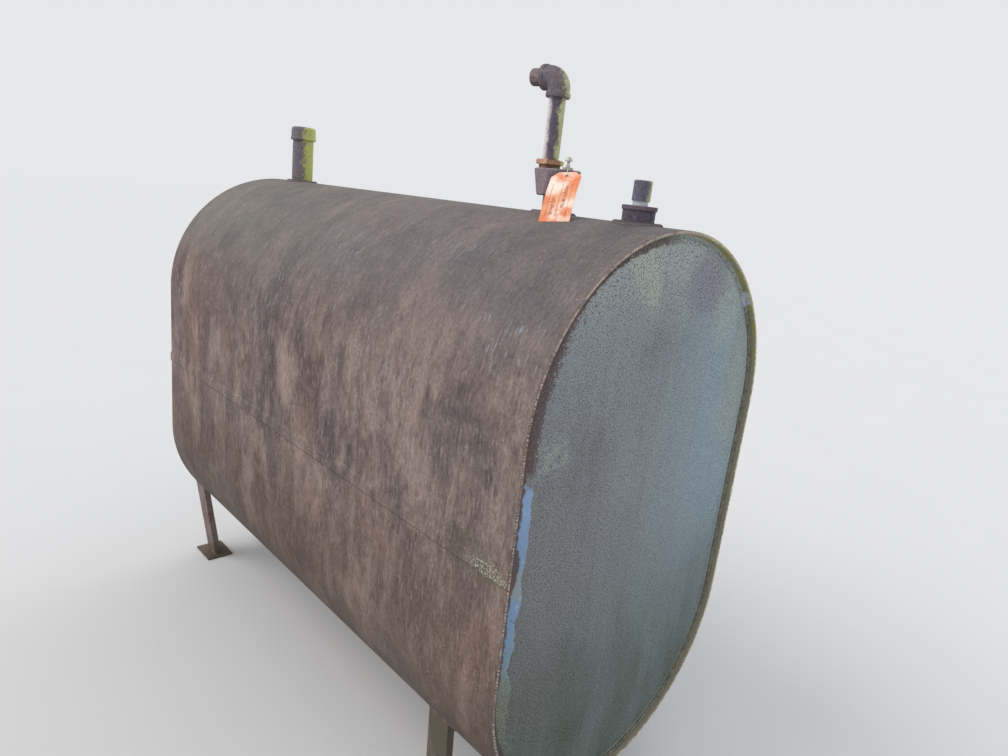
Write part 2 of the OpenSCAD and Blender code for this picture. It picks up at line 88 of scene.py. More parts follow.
def linear(colour):
    """A colour of 0 to 255 in Blender's linear values. A socket stays as it is."""
    if isinstance(colour, bpy.types.NodeSocket):
        return colour
    shares = [value / 255 for value in colour]
    return (*[s / 12.92 if s <= 0.04045 else ((s + 0.055) / 1.055) ** 2.4 for s in shares], 1.0)


class Paint:
    """One material. Its methods add nodes and give back the socket with their result.

    Coordinates are metres in the row frame, and colours are 0 to 255. over() and where() lay
    a colour on what is there, and emboss() adds to the relief, in metres.
    """

    def __init__(self, name, colour):
        self.material = bpy.data.materials.new(name)
        self.material.use_nodes = True
        self.tree = self.material.node_tree
        self.shader = self.tree.nodes["Principled BSDF"]
        self.place = self.add("TexCoord").outputs["Object"]
        self.x, self.y, self.z = self.add("SeparateXYZ", {0: self.place}).outputs
        self.colour = colour
        self.relief = 0.0

    def add(self, kind, inputs=None, **settings):
        node = self.tree.nodes.new("ShaderNode" + kind)
        for key, value in settings.items():
            setattr(node, key, value)
        for key, value in (inputs or {}).items():
            self.feed(node.inputs[key], value)
        return node

    def feed(self, socket, value):
        if isinstance(value, bpy.types.NodeSocket):
            self.tree.links.new(value, socket)
        else:
            socket.default_value = value

    def math(self, operation, a, b=0.0):
        return self.add("Math", {0: a, 1: b}, operation=operation).outputs[0]

    def chain(self, operation, values):
        result = values[0]
        for value in values[1:]:
            result = self.math(operation, result, value)
        return result

    def times(self, *factors):
        return self.chain("MULTIPLY", factors)

    def plus(self, *terms):
        return self.chain("ADD", terms)

    def minus(self, a, b):
        return self.math("SUBTRACT", a, b)

    def spread(self, shift, stretch=(1, 1, 1), on=None):
        inputs = {0: on or self.place, 1: stretch, 2: (shift, 0.7 * shift, 0.4 * shift)}
        return self.add("VectorMath", inputs, operation="MULTIPLY_ADD").outputs[0]

    def noise(self, scale, stretch=(1, 1, 1), detail=3, rough=0.55, shift=0.0, on=None):
        """Clouds from 0 to 1, about 1/scale metres across."""
        place = self.spread(shift, stretch, on)
        inputs = {"Vector": place, "Scale": scale, "Detail": detail, "Roughness": rough}
        return self.add("TexNoise", inputs).outputs["Fac"]

    def specks(self, scale, size, share, shift=0.0):
        """Round specks on a share of scattered points, as a mask."""
        cells = self.add("TexVoronoi", {"Vector": self.spread(shift), "Scale": scale}).outputs
        chance = self.add("SeparateColor", {0: cells["Color"]}).outputs[0]
        chosen = self.math("LESS_THAN", chance, share)
        return self.times(self.step(cells["Distance"], size, 0.6 * size), chosen)

    def step(self, value, low, high):
        """0 at low, 1 at high, smooth between, whichever of the two is the larger."""
        inputs = {"Value": value, "From Min": low, "From Max": high}
        return self.add("MapRange", inputs, interpolation_type="SMOOTHSTEP").outputs[0]

    def band(self, value, low, high, soft):
        """1 between low and high, falling to 0 over soft outside them."""
        rising = self.step(value, low - soft, low)
        return self.times(rising, self.step(value, high + soft, high))

    def spot(self, coordinates, middle, radii):
        """1 at a place given by two coordinates, falling to 0 at the radii of an ellipse."""
        total = 0.0
        for value, centre, radius in zip(coordinates, middle, radii):
            away = self.math("DIVIDE", self.minus(value, centre), radius)
            total = self.plus(total, self.times(away, away))
        return self.step(total, 1.0, 0.15)

    def swing(self, value, low, high):
        """A value from 0 to 1, stretched to run from low to high."""
        return self.plus(self.times(value, high - low), low)

    def centred(self, value, reach=1.0):
        """A value from 0 to 1, moved to lie around 0 and scaled by reach."""
        return self.times(self.minus(value, 0.5), reach)

    def facing(self, direction):
        """How far the surface faces a direction, from -1 to 1."""
        normal = self.add("NewGeometry").outputs["Normal"]
        inputs = {0: normal, 1: Vector(direction).normalized()}
        return self.add("VectorMath", inputs, operation="DOT_PRODUCT").outputs["Value"]

    def oval_radius(self):
        """Distance from the line between the centres of the tank's two rounds."""
        height = self.math("ABSOLUTE", self.minus(self.z, MID_Z))
        beyond = self.math("MAXIMUM", self.minus(height, STRAIGHT), 0.0)
        return self.math("SQRT", self.plus(self.times(beyond, beyond), self.times(self.y, self.y)))

    def laid_flat(self, x):
        """The shell laid flat: x, and the way from its top line, negative on the near side."""
        height = self.minus(self.z, MID_Z)
        flat = self.math("MAXIMUM", self.math("MINIMUM", height, STRAIGHT), -STRAIGHT)
        angle = self.math("ARCTAN2", self.minus(height, flat), self.math("ABSOLUTE", self.y))
        climbed = self.plus(flat, self.times(angle, SHELL_R))
        down = self.times(self.minus(CREST, climbed), self.math("SIGN", self.y))
        return self.add("CombineXYZ", {0: x, 1: down}).outputs[0]

    def mix(self, share, a, b):
        return self.add("Mix", {0: share, 6: linear(a), 7: linear(b)}, data_type="RGBA").outputs[2]

    def over(self, colour, *shares):
        self.colour = self.mix(self.times(*shares), self.colour, colour)

    def where(self, value, low, high, colour, *shares):
        """Lays a colour where a value has gone from low to high."""
        self.over(colour, self.step(value, low, high), *shares)

    def emboss(self, value, metres):
        self.relief = self.plus(self.relief, self.times(value, metres))

    def grit(self, grain, spread, metres):
        """Shades the colour by up to spread either way, and raises the grain by metres."""
        inputs = {0: self.colour, "Scale": self.swing(grain, 1 - spread, 1 + spread)}
        self.colour = self.add("VectorMath", inputs, operation="SCALE").outputs[0]
        self.emboss(grain, metres)

    def finish(self, rough, metallic=0.0, specular=0.4):
        for key, value in (("Base Color", self.colour), ("Roughness", rough), ("Metallic", metallic),
                           ("Specular IOR Level", specular)):
            self.feed(self.shader.inputs[key], value)
        if isinstance(self.relief, bpy.types.NodeSocket):
            bump = self.add("Bump", {"Height": self.relief, "Distance": 1.0, "Strength": 1.0})
            self.tree.links.new(bump.outputs[0], self.shader.inputs["Normal"])
        return self.material


def shell_finish():
    """Faded red-brown primer: soft streaks down the sides, grey film on the crown, dirt below."""
    p = Paint("shell_primer", (108, 97, 94))
    flow = p.laid_flat(p.x)

    def flowing(scale, stretch, detail, rough, shift=0.0):
        return p.noise(scale, (1, stretch, 1), detail, rough, shift, flow)

    blotch = flowing(3.4, 0.75, 8, 0.66)
    p.where(blotch, 0.52, 0.38, (82, 73, 75), 0.9)
    p.where(blotch, 0.5, 0.64, (136, 118, 111), 0.85)
    stains = flowing(17, 0.75, 8, 0.72, 5.0)
    p.where(stains, 0.5, 0.64, (78, 70, 72), 0.6)
    p.where(stains, 0.48, 0.34, (140, 126, 120), 0.45)
    # Redder on the flat sides, with a grey film over the crown
    side = p.step(p.z, 1.1, 0.85)
    p.where(flowing(2.3, 0.8, 6, 0.6, 12.0), 0.47, 0.63, (124, 88, 78), side, 0.38)
    film = p.swing(p.noise(10, (1, 1.5, 2), 7, 0.68, 1.7), 0.2, 1.2)
    grey = p.mix(p.step(p.x, -0.5, 0.5), (118, 117, 112), (104, 101, 104))
    p.where(p.z, 0.93, 1.14, grey, film, 0.9)
    # Washed streaks, dark runs and fine hairs of both, fading out over the crown
    hair = flowing(180, 0.2, 4, 0.6, 5.0)
    for value, low, high, colour, least, most in (
        (flowing(7, 0.5, 8, 0.66, 14.0), 0.5, 0.64, (170, 148, 140), 0.1, 0.5),
        (flowing(24, 0.2, 6, 0.6, 3.0), 0.5, 0.68, (172, 152, 144), 0.1, 0.27),
        (flowing(38, 0.25, 6, 0.6, 9.0), 0.5, 0.68, (66, 57, 58), 0.15, 0.36),
        (hair, 0.52, 0.7, (180, 164, 157), 0.15, 0.3),
        (hair, 0.48, 0.32, (54, 46, 48), 0.2, 0.35),
    ):
        p.where(value, low, high, colour, p.swing(side, least, most))
    # Short bluish scuffs where the side turns into the crown
    scuffed = p.times(p.step(flowing(5, 1.5, 5, 0.6, 2.6), 0.47, 0.6), p.band(p.z, 0.88, 1.12, 0.1))
    p.where(flowing(130, 0.22, 4, 0.62, 7.0), 0.54, 0.68, (150, 154, 164), scuffed, 0.6)
    # Dirt and algae towards the underside, darker there also as painted shade
    p.where(p.z, 0.75, 0.2, (74, 67, 58), p.swing(p.noise(12, (1, 1, 0.5), 5, 0.6, 6.0), 0.3, 1.0))
    # Dirt under the near seam, and thin lichen, most of it near the front end
    crust = flowing(170, 0.5, 5, 0.7, 4.0)
    p.where(crust, 0.42, 0.56, (58, 48, 46), p.band(p.z, 0.6560, 0.6592, 0.0015), 0.6)
    near = p.step(p.y, 0.1, -0.1)
    front = p.spot((p.x, p.z), (0.715, 0.669), (0.075, 0.020))
    middle = p.spot((p.x, p.z), (-0.05, 0.674), (0.38, 0.024))
    mossy = p.spot((p.x, p.z), (0.67, 0.680), (0.13, 0.05))
    p.where(crust, 0.58, 0.46, (80, 84, 66), mossy, near, 0.45)
    grown = p.times(p.math("MAXIMUM", front, p.times(middle, 0.5)), near)
    flecks = p.plus(p.noise(260, detail=4, rough=0.7, shift=4.0), p.times(grown, 0.12))
    lichen = p.times(p.step(flecks, 0.60, 0.70), p.step(grown, 0.0, 0.4))
    p.over(p.mix(front, (160, 158, 154), (190, 192, 172)), lichen, 0.7)
    # Pale chips and dark pits
    p.over((204, 196, 190), p.specks(150, 0.16, 0.05, 1.1), 0.7)
    p.over((52, 42, 41), p.specks(240, 0.3, 0.2, 5.0), 0.6)
    p.grit(flowing(200, 0.6, 4, 0.7, 6.0), 0.55, 0.0002)
    p.grit(p.noise(430, rough=0.65), 0.4, 0.0002)
    p.emboss(p.noise(2.6, detail=2, shift=8.0), 0.005)
    p.emboss(lichen, 0.0004)
    return p.finish(p.swing(p.noise(30, shift=1.0), 0.55, 0.85), specular=0.18)


def head_base(name):
    """Grey paint for either head, bluer to the far side and browner low on the near side."""
    p = Paint(name, (132, 139, 145))
    cloud = p.noise(4.5, (1, 1, 0.7), 6, 0.6)
    p.where(cloud, 0.52, 0.36, (102, 103, 108), 0.55)
    p.where(cloud, 0.5, 0.66, (138, 147, 150), 0.5)
    p.where(p.y, -0.06, 0.28, (144, 168, 178), p.swing(p.step(p.z, 0.3, 0.75), 0.35, 0.8))
    p.where(p.y, 0.05, -0.30, (112, 105, 106), p.step(p.z, 1.1, 0.7), 0.55)
    wipes = p.noise(24, (1, 1, 0.06), 5, 0.6, 2.0)
    p.where(wipes, 0.53, 0.68, (148, 158, 154), 0.25)
    p.where(wipes, 0.47, 0.32, (98, 97, 102), 0.25)
    high = p.step(p.z, 1.02, 1.2)
    p.over((168, 176, 172), high, p.swing(cloud, 0.3, 1.1))
    p.where(p.z, 0.80, 0.2, (70, 84, 72), p.swing(p.noise(12, (1, 1, 0.3), 5, 0.65, 3.0), 0.2, 1.4))
    return p, high


def head_grain(p, high, plain):
    """Close grain of rust over a head's paint, densest near the top, with none where it is plain."""
    fine = p.noise(410, rough=0.62, shift=2.5)
    grained = p.minus(1.0, plain)
    p.where(fine, 0.515, 0.63, (66, 56, 56), grained, 0.85)
    p.where(fine, 0.46, 0.34, (172, 188, 192), grained, p.swing(p.step(p.z, 0.4, 1.0), 0.32, 0.42))
    p.over((56, 45, 43), p.specks(240, 0.32, p.swing(high, 0.12, 0.5), 6.0), grained, 0.85)
    p.over((64, 50, 48), p.specks(165, 0.26, p.times(high, 0.45), 4.0), grained, 0.75)
    p.over((58, 46, 43), p.specks(110, 0.16, 0.08, 2.0), grained, 0.7)
    p.emboss(fine, -0.0003)
    p.emboss(p.noise(3.0, detail=2, shift=4.0), 0.004)
    return p.finish(p.swing(fine, 0.55, 0.8), specular=0.33)


def blue_strip(p, radius, near, ragged):
    """Old blue paint on the near slope, in two lengths with a dirty gap between them."""
    lower = p.step(p.z, 0.68, 0.62)
    wavy = p.centred(p.noise(17, (0, 0, 1), 1, 0.4, 7.0), p.swing(lower, 0.012, 0.045))
    frayed = p.centred(p.noise(300, rough=0.6, shift=8.0), 0.007)
    torn = p.centred(ragged, 0.03)
    edge = p.plus(radius, frayed, wavy, p.times(ragged, 0.007))
    inside = p.times(p.step(edge, STRIP_IN, STRIP_IN + 0.0025), near,
                     p.step(radius, FLANGE_IN - 0.001, FLANGE_IN - 0.003))
    slant = p.times(p.minus(0.312, radius), 0.4)
    strip = p.times(inside, p.step(p.plus(p.z, torn, slant), 0.826, 0.814),
                    p.step(p.plus(p.z, p.times(torn, 3.0)), 0.41, 0.50))
    gap = p.band(p.plus(p.z, p.times(torn, 2.0)), 0.636, 0.664, 0.025)
    tone = (134, 162, 198)
    for share, colour in (
        (p.step(p.z, 0.80, 0.68), (120, 148, 182)),
        (p.step(p.z, 0.58, 0.46), (118, 138, 142)),
        (p.times(gap, 0.85), (142, 152, 150)),
        (p.times(p.step(ragged, 0.54, 0.68), 0.5), (160, 182, 206)),
        (p.times(p.step(edge, STRIP_IN + 0.007, STRIP_IN), 0.7), (140, 160, 172)),
    ):
        tone = p.mix(share, tone, colour)
    p.over(tone, strip, 0.97)
    p.over((84, 74, 72), strip, p.specks(95, 0.22, p.swing(lower, 0.05, 0.22), 3.0), 0.7)
    p.emboss(strip, 0.0003)
    p.over((120, 128, 112), inside, p.step(p.z, 0.50, 0.44), p.step(p.z, 0.26, 0.42), 0.7)
    # Brown rust along its outer edge, reaching in beside the gap
    nick = p.band(p.z, 0.665, 0.695, 0.035)
    reach = p.plus(radius, frayed, p.times(torn, 0.6), p.times(nick, 0.008))
    p.where(reach, STRIP_OUT, STRIP_OUT + 0.003, (86, 66, 62), inside, p.step(p.z, 0.44, 0.48), 0.9)
    return strip


def head_finish(front):
    """Paint of a head. The front one also shows old blue paint and single stains."""
    p, high = head_base("head_front_paint" if front else "head_rear_paint")
    radius = p.oval_radius()
    near = p.step(p.y, 0.02, -0.06)
    ragged = p.noise(75, detail=5, rough=0.68, shift=1.3)
    dust = p.centred(p.noise(260, rough=0.65, shift=9.0))
    bare = 0.0
    if front:
        # A pale slanting wash, then a purplish cloud, a yellowed patch and some pale spots
        slanted = p.plus(p.y, p.times(p.minus(p.z, 1.13), 0.5))
        p.over((180, 186, 170), p.spot((slanted, p.z), (-0.08, 1.165), (0.05, 0.10)), ragged, 0.95)
        broken = p.step(ragged, 0.40, 0.6)
        for colour, place, size, mask, share in (
            ((122, 118, 136), (0.105, 1.135), (0.085, 0.075), 1.0, 0.6),
            ((160, 162, 148), (0.29, 0.95), (0.08, 0.22), ragged, 0.9),
            ((188, 190, 168), (-0.05, 1.213), (0.03, 0.014), broken, 0.8),
            ((188, 190, 168), (0.19, 1.09), (0.07, 0.09), broken, 0.3),
            ((154, 168, 154), (-0.275, 0.862), (0.07, 0.045), broken, 0.6),
        ):
            p.over(colour, p.spot((p.y, p.z), place, size), mask, share)
        bare = blue_strip(p, radius, near, ragged)
    # Rust on the near slope, narrower towards the top, breaking up into grains at its edge
    grains = p.times(dust, 0.05)
    climb = p.times(p.step(p.z, 0.96, 1.17), 0.022)
    edge = p.plus(p.minus(radius, climb), p.centred(ragged, 0.022), grains)
    height = p.band(p.plus(p.z, p.centred(ragged, 0.06), grains), 0.85, 1.165, 0.02)
    rusty = p.times(p.step(edge, RUST_IN, RUST_IN + 0.004), near, height)
    p.over(p.mix(p.step(dust, 0.0, 0.14), (82, 66, 68), (112, 92, 92)), rusty, 0.92)
    # Painted shade as a dark line at the foot of the near slope, a painted highlight as a pale line at the
    # far one, and dirt with painted shade in the groove
    p.where(radius, STRIP_OUT + 0.004, STRIP_OUT + 0.006, (60, 50, 49), near, p.step(p.z, 1.2, 1.15), 0.8)
    # Painted highlight: the pale line at the foot of the far slope
    far = p.times(p.step(p.y, -0.02, 0.06), p.step(p.z, 1.12, 0.98))
    p.over((186, 190, 176), p.band(radius, SLOPE_FOOT - 0.004, SLOPE_FOOT - 0.001, 0.002), far, 0.6)
    dirt_and_shade_share = p.swing(p.step(p.z, 1.15, 1.04), 0.2, 0.9)
    groove_dirt_and_shade = p.mix(p.step(ragged, 0.42, 0.6), (112, 112, 98), (82, 82, 74))
    p.over(groove_dirt_and_shade, p.band(radius, SLOPE_FOOT, FLANGE_IN, 0.0015), dirt_and_shade_share)
    # Painted shade: a dark line at the bottom of the groove
    p.over((62, 60, 54), p.band(radius, SLOPE_FOOT, SLOPE_FOOT + 0.0015, 0.001), dirt_and_shade_share, 0.8)
    # Inside the flange: pale at its edge, painted shade deeper in, yellow-green lichen on the far shoulder
    flange = p.step(radius, FLANGE_IN - 0.003, FLANGE_IN - 0.001)
    inwards = p.plus(p.math("ABSOLUTE", p.x), p.centred(ragged, 0.006))
    shoulder = p.times(p.step(p.y, 0.02, 0.10), p.step(p.z, 0.90, 1.04))
    bloom = p.times(shoulder, p.step(p.noise(38, detail=6, rough=0.7, shift=5.0), 0.38, 0.52))
    p.over((154, 148, 132), flange, p.swing(ragged, 0.6, 1.2))
    p.over((154, 152, 88), flange, bloom, 0.92)
    shaded = p.mix(p.step(ragged, 0.44, 0.6), (126, 122, 104), (88, 84, 70))
    p.where(inwards, PLATE_END - 0.0045, PLATE_END - 0.0085, shaded,
            flange, p.swing(p.step(p.z, 1.18, 1.08), 0.45, 0.9))
    if front:
        bald = p.times(p.spot((p.y, p.z), (0.252, 1.106), (0.019, 0.025)), p.step(radius, 0.327, 0.329))
        p.where(ragged, 0.38, 0.48, (190, 192, 208), bald, 0.85)
    p.emboss(p.times(flange, bloom), 0.0005)
    return head_grain(p, high, p.chain("MAXIMUM", (bare, rusty, p.times(flange, 0.7))))


def weld_finish():
    """Weathered weld metal in dark and paler patches, with some rust."""
    p = Paint("weld_rusted", (88, 74, 68))
    p.where(p.noise(90, detail=4, rough=0.6), 0.40, 0.58, (132, 118, 108), 0.6)
    p.where(p.noise(60, detail=4, shift=3.0), 0.56, 0.7, (112, 80, 62), 0.4)
    p.grit(p.noise(700, detail=2, shift=1.0), 0.18, 0.00015)
    return p.finish(0.66, specular=0.35)


def rim_finish():
    """Rim beads: bright from a painted highlight, darker in dashes of painted shade, with yellowish lichen
    on the far side.
    """
    # Its pale base colour is a painted highlight
    p = Paint("rim_rust_and_highlight", (180, 164, 152))
    dashes = p.noise(270, detail=2, rough=0.5, on=p.laid_flat(0.0))
    # Dashes of painted shade, stronger low down
    p.where(dashes, 0.44, 0.58, (72, 60, 56), p.swing(p.step(p.z, 1.1, 0.95), 0.3, 0.9))
    p.where(p.noise(40, detail=4, rough=0.6, shift=2.0), 0.46, 0.6, (106, 92, 84), 0.75)
    crumbs = p.step(p.noise(300, rough=0.6, shift=7.0), 0.44, 0.6)
    lichen = p.mix(p.step(p.z, 1.1, 0.85), (158, 160, 96), (140, 138, 112))
    grown = p.step(p.noise(45, detail=5, rough=0.65, shift=4.0), 0.34, 0.5)
    p.where(p.y, 0.0, 0.08, p.mix(crumbs, lichen, (212, 212, 176)), grown, 0.85)
    p.grit(p.noise(700, detail=2, shift=1.0), 0.15, 0.00015)
    return p.finish(0.6, specular=0.4)


LICHEN = ((164, 172, 88), (208, 212, 130))
PALE_LICHEN = ((152, 154, 104), (214, 216, 178))


def rusted_iron(name, base, rust, lichen=0.0, edge=0.2, moss=LICHEN, painted_highlight=None, from_x=None):
    """Pipe or casting: mottled dark skin and rust, with lichen on the side to the far front.

    A larger edge makes the lichen narrower. from_x keeps it beyond that x. The highlight colour paints a
    highlight on the near left side, towards the key lamp, with a pale painted highlight on faces turned up.
    """
    p = Paint(name, base)
    clouds = p.noise(34, detail=6, rough=0.65)
    p.where(clouds, 0.48, 0.64, rust, 0.7)
    if painted_highlight:
        # Painted highlight on the near left side, towards the key lamp, then a pale painted highlight on
        # faces turned up
        lit = p.plus(p.facing((-0.75, -0.6, 0.3)), p.centred(clouds, 0.9))
        p.where(lit, 0.3, 0.8, painted_highlight, 0.85)
        p.where(p.facing((0, 0, 1)), 0.6, 0.95, (196, 180, 180), clouds, 0.8)
    mottle = p.noise(130, detail=5, rough=0.7, shift=3.0)
    p.where(mottle, 0.55, 0.68, (170, 158, 158), 0.4)
    p.where(mottle, 0.46, 0.33, (58, 46, 50), 0.55)
    if lichen:
        if from_x:
            lichen = p.times(p.step(p.x, from_x, from_x + 0.014), lichen)
        patches = p.noise(45, detail=6, rough=0.72, shift=6.0)
        ragged = p.plus(p.facing((0.68, 0.73, 0.1)), p.centred(patches, 1.4), p.centred(mottle, 1.6))
        p.where(ragged, edge - 0.25, edge + 0.35, p.mix(0.5, moss[0], base), lichen, 0.7)
        crust = p.step(ragged, edge + 0.05, edge + 0.45)
        p.over(p.mix(p.noise(110, detail=4, rough=0.6), *moss), crust, lichen)
        p.emboss(p.times(crust, p.noise(420, rough=0.7)), 0.0005)
    p.grit(p.noise(520, rough=0.65, shift=2.0), 0.25, 0.0004)
    return p.finish(p.swing(clouds, 0.55, 0.8), specular=0.38)


def leg_finish(name, base, worn):
    """Dull paint, worn in patches, with rust spots and dirt towards the floor."""
    p = Paint(name, base)
    clouds = p.noise(22, (1, 1, 0.5), 6, 0.65)
    p.where(clouds, 0.48, 0.62, worn, 0.7)
    p.where(p.noise(50, detail=5, rough=0.7, shift=4.0), 0.54, 0.66, (98, 62, 46), 0.7)
    p.where(p.z, 0.10, 0.0, (70, 68, 50), p.swing(clouds, 0.3, 1.0))
    p.grit(p.noise(480, rough=0.6), 0.22, 0.0004)
    return p.finish(0.7, specular=0.32)


def screw_finish():
    """Dull zinc with dirt and a little rust."""
    p = Paint("screw_zinc", (196, 196, 186))
    p.where(p.noise(160, detail=4), 0.46, 0.62, (138, 134, 122), 0.8)
    p.where(p.noise(230, detail=4, shift=2.0), 0.58, 0.68, (120, 84, 60), 0.7)
    p.emboss(p.noise(900, detail=2), 0.0001)
    return p.finish(p.swing(p.noise(200), 0.35, 0.6), metallic=0.35, specular=0.5)


def wire_finish():
    """Pale zinc with darker spots."""
    p = Paint("wire_zinc", (206, 204, 192))
    p.where(p.noise(260, detail=4), 0.5, 0.64, (140, 128, 112), 0.8)
    p.emboss(p.noise(1500, detail=2), 0.00005)
    return p.finish(0.42, metallic=0.5, specular=0.5)


def glass_finish():
    """Glass clouded by weather, rougher where it is stained."""
    p = Paint("vial_glass", (222, 232, 238))
    stain = p.noise(90, detail=4, rough=0.6)
    p.where(stain, 0.5, 0.68, (186, 186, 172), 0.6)
    p.shader.inputs["Transmission Weight"].default_value = 0.35
    p.shader.inputs["IOR"].default_value = 1.46
    return p.finish(p.swing(stain, 0.12, 0.4), specular=0.5)


def card_finish():
    """Orange card, mottled lighter and darker, with painted sunlight nearly white in two places."""
    p = Paint("tag_orange", (230, 138, 96))
    mottling = p.noise(22, detail=5, rough=0.6)
    p.where(mottling, 0.44, 0.64, (242, 180, 146), 0.7)
    p.where(mottling, 0.44, 0.32, (218, 114, 72), 0.5)
    # Painted sunlight: two patches nearly white, ragged at their edges
    for u, v in ((0.020, 0.094), (0.046, 0.020)):
        middle = tag_point(u, v, 0.0)
        sunlit_patch = p.spot((p.x, p.z), (middle.x, middle.z), (0.03, 0.032))
        p.where(mottling, 0.36, 0.56, (250, 232, 218), sunlit_patch, 0.95)
    p.over((150, 96, 66), p.specks(300, 0.3, 0.12), 0.4)
    p.grit(p.noise(1100, detail=2), 0.07, 0.00006)
    return p.finish(0.62, specular=0.3)


def ink_finish():
    p = Paint("tag_ink", (120, 52, 40))
    p.where(p.noise(420), 0.46, 0.6, (168, 84, 58), 0.7)
    return p.finish(0.6)


def floor_finish():
    p = Paint("floor_pale", (217, 218, 220))
    p.over((213, 214, 216), p.noise(2.0))
    return p.finish(0.85, specular=0.2)


def placed(name, data):
    """An object for a mesh, lamp or camera, in the scene."""
    obj = bpy.data.objects.new(name, data)
    bpy.context.scene.collection.objects.link(obj)
    return obj


def piece(name, points, faces, material, stands_for=(), sharp=50):
    """A mesh in place in the row frame, riding on the tank."""
    mesh = bpy.data.meshes.new(name)
    mesh.from_pydata(np.asarray(points).tolist(), [], faces)
    shape = bmesh.new()
    shape.from_mesh(mesh)
    bmesh.ops.recalc_face_normals(shape, faces=shape.faces)
    shape.to_mesh(mesh)
    shape.free()
    mesh.shade_smooth()
    mesh.set_sharp_from_angle(angle=math.radians(sharp))
    mesh.materials.append(material)
    obj = placed(name, mesh)
    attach(obj, "root")
    if stands_for:
        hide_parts(*stands_for)


def ring_faces(rings, sides, closed=False, first=0):
    """Faces over rings of points, numbered from first, with two end faces unless closed."""
    faces = []
    for i in range(rings if closed else rings - 1):
        here, there = first + i * sides, first + (i + 1) % rings * sides
        for j in range(sides):
            k = (j + 1) % sides
            faces.append((here + j, here + k, there + k, there + j))
    if not closed:
        last = first + (rings - 1) * sides
        faces += [tuple(range(first, first + sides)), tuple(range(last, last + sides))]
    return faces


def loft(name, rings, material, stands_for=(), sharp=50, closed=False):
    """A piece whose skin runs over rings with the same number of points."""
    faces = ring_faces(len(rings), len(rings[0]), closed)
    piece(name, np.vstack(rings), faces, material, stands_for, sharp)


def unit(vectors):
    vectors = np.asarray(vectors, float)
    return vectors / np.linalg.norm(vectors, axis=-1, keepdims=True)


def full_turn(sides):
    return np.linspace(0, 2 * math.pi, sides, endpoint=False)


def spokes(turn, first, second):
    """A direction for each angle, turning from first to second."""
    return np.cos(turn)[:, None] * first + np.sin(turn)[:, None] * second


def cross_axes(axis):
    """Two directions square to an axis of length 1."""
    first = unit(np.cross(axis, (0, 1, 0) if abs(axis[1]) < 0.9 else (1, 0, 0)))
    return first, np.cross(axis, first)


def weld_bead(name, path, radius, material, seed, arc=90, closed=False, stands_for=()):
    """A rippled bead along rows of point, out and up. Its section turns from out by arc."""
    path = np.array(path, float)
    if closed:
        path = np.vstack([path, path[:1]])
    steps = np.linalg.norm(np.diff(path[:, :3], axis=0), axis=1)
    distance = np.concatenate([[0], np.cumsum(steps)])
    ripples = max(3, round(distance[-1] / RIPPLE_PITCH))
    count = ripples * RIPPLE_STEPS
    at = np.linspace(0, distance[-1], count, endpoint=not closed)
    stations = np.stack([np.interp(at, distance, column) for column in path.T], axis=1)
    point, out, up = stations[:, :3], unit(stations[:, 3:6]), unit(stations[:, 6:9])
    height = 1 - RIPPLE_VARIES * np.random.default_rng(seed).random(ripples + 2)
    angles = np.radians(np.linspace(0, arc, WELD_SIDES))
    lag = RIPPLE_LAG * np.sin(np.linspace(0, math.pi, WELD_SIDES))
    rings = []
    for i in range(count):
        phase = i / RIPPLE_STEPS + lag
        whole = np.floor(phase).astype(int)
        if closed:
            whole %= ripples
        size = radius * height[whole] * (1 - RIPPLE_FALL * (phase % 1) ** 2)
        rings.append(np.vstack([point[i] + size[:, None] * spokes(angles, out[i], up[i]), point[i]]))
    loft(name, rings, material, stands_for, 75, closed)


def oval_stations(radius, x, end):
    """Round the oval at one end: point, outward direction and the end's own direction."""
    rows = []
    for middle, start in ((STRAIGHT, 0), (-STRAIGHT, math.pi)):
        for turn in np.linspace(start, start + math.pi, 181):
            y, z = math.cos(turn), math.sin(turn)
            rows.append((x, radius * y, MID_Z + middle + radius * z, 0, y, z, end, 0, 0))
    return rows


def rim_welds(material):
    for end, node in ((1, "rim_weld_front"), (-1, "rim_weld_rear")):
        low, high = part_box(node)
        bead = high.x - low.x
        rows = oval_stations(high.y - bead, end * PLATE_END, end)
        weld_bead(node + "_ripples", rows, bead, material, 3 + end, 180, True, (node,))


def seam_welds(material):
    for side, node in ((-1, "seam_weld_near"), (1, "seam_weld_far")):
        low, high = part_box(node)
        rows = [(x, side * SHELL_R, high.z, 0, side, 0, 0, 0, -1) for x in (low.x, high.x)]
        weld_bead(node + "_ripples", rows, high.z - low.z, material, 9 + side, stands_for=(node,))


def spud_welds(material):
    """A fillet round each welded ring, following the round of the shell."""
    for node, up in (("fill_spud", 1), ("vent_spud", 1), ("gauge_spud", 1), ("drain_spud", -1)):
        radius = measures(node)[0]
        rows = []
        for turn in full_turn(96):
            out = np.array([math.cos(turn), math.sin(turn), 0.0])
            y = radius * out[1]
            drop = math.sqrt(SHELL_R ** 2 - y ** 2)
            point = (middle_x(node) + radius * out[0], y, MID_Z + up * (STRAIGHT + drop))
            normal = np.array([0.0, y, up * drop]) / SHELL_R
            rows.append((*point, *(out - out.dot(normal) * normal), 0, 0, up))
        weld_bead(node + "_fillet", rows, 0.0042, material, 21, closed=True)


LEG_LEANS = {"front": math.radians(2), "rear": math.radians(9)}
LEG_FLANGE = 0.018


